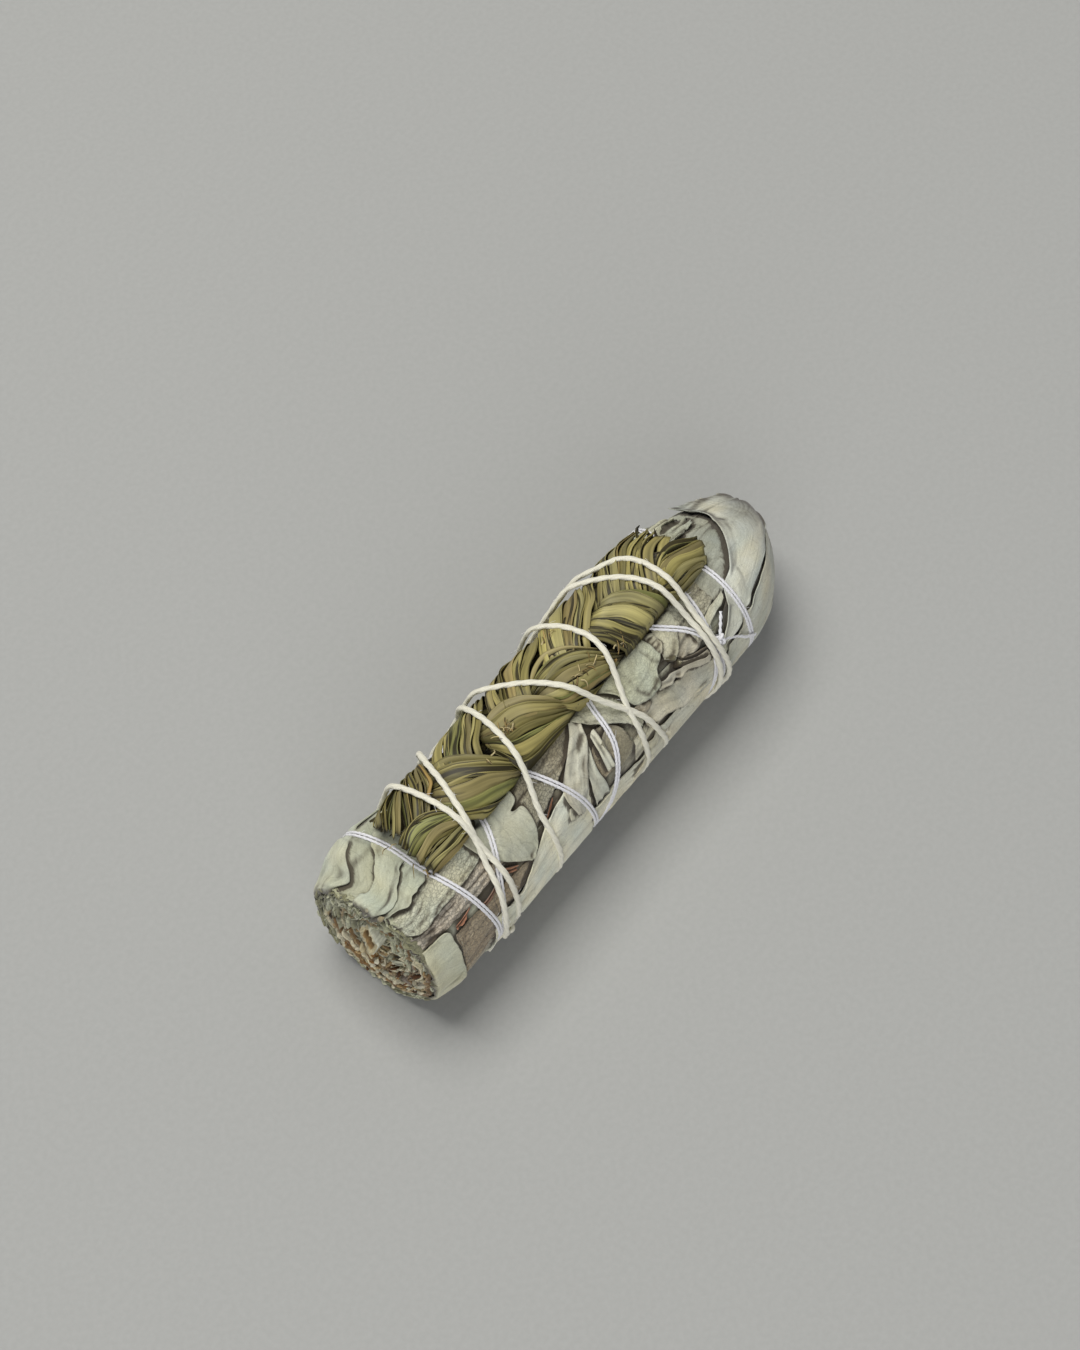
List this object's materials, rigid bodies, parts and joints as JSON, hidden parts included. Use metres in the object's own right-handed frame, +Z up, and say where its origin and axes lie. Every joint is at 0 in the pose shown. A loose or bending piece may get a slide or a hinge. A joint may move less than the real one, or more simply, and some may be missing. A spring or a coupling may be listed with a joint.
{
  "type": "sage bunch",
  "caption": "Dried white sage bunch lying on its side, bound with thread and string, with a sweetgrass plait tied along its top.",
  "frame": {"origin": "centre of the bunch's outline, on the surface that it lies on", "axes": "+X along the bunch from the cut stem end to the leaf tips, +Y to the side that the plait leans towards, +Z up"},
  "size_m": [0.1159, 0.0352, 0.0359],
  "materials": {
    "sage_leaf": "matte, felted dried leaf",
    "woody_stem": "dry bark with pale pith at the cut ends",
    "sweetgrass": "dry grass blades with a slight satin sheen",
    "cotton_thread": "matte twisted cotton thread, laid double",
    "cotton_string": "matte twisted cotton string"
  },
  "bodies": {
    "root": {"sage_leaves": "sage_leaf", "stem_1": "woody_stem", "stem_2": "woody_stem", "stem_3": "woody_stem", "stem_4": "woody_stem", "stem_5": "woody_stem", "stem_6": "woody_stem", "stem_7": "woody_stem", "stem_8": "woody_stem", "stem_9": "woody_stem", "stem_10": "woody_stem", "stem_11": "woody_stem", "stem_12": "woody_stem", "grass_strand_1": "sweetgrass", "grass_strand_2": "sweetgrass", "grass_strand_3": "sweetgrass", "white_thread": "cotton_thread", "cream_string": "cotton_string"}
  },
  "joints": []
}
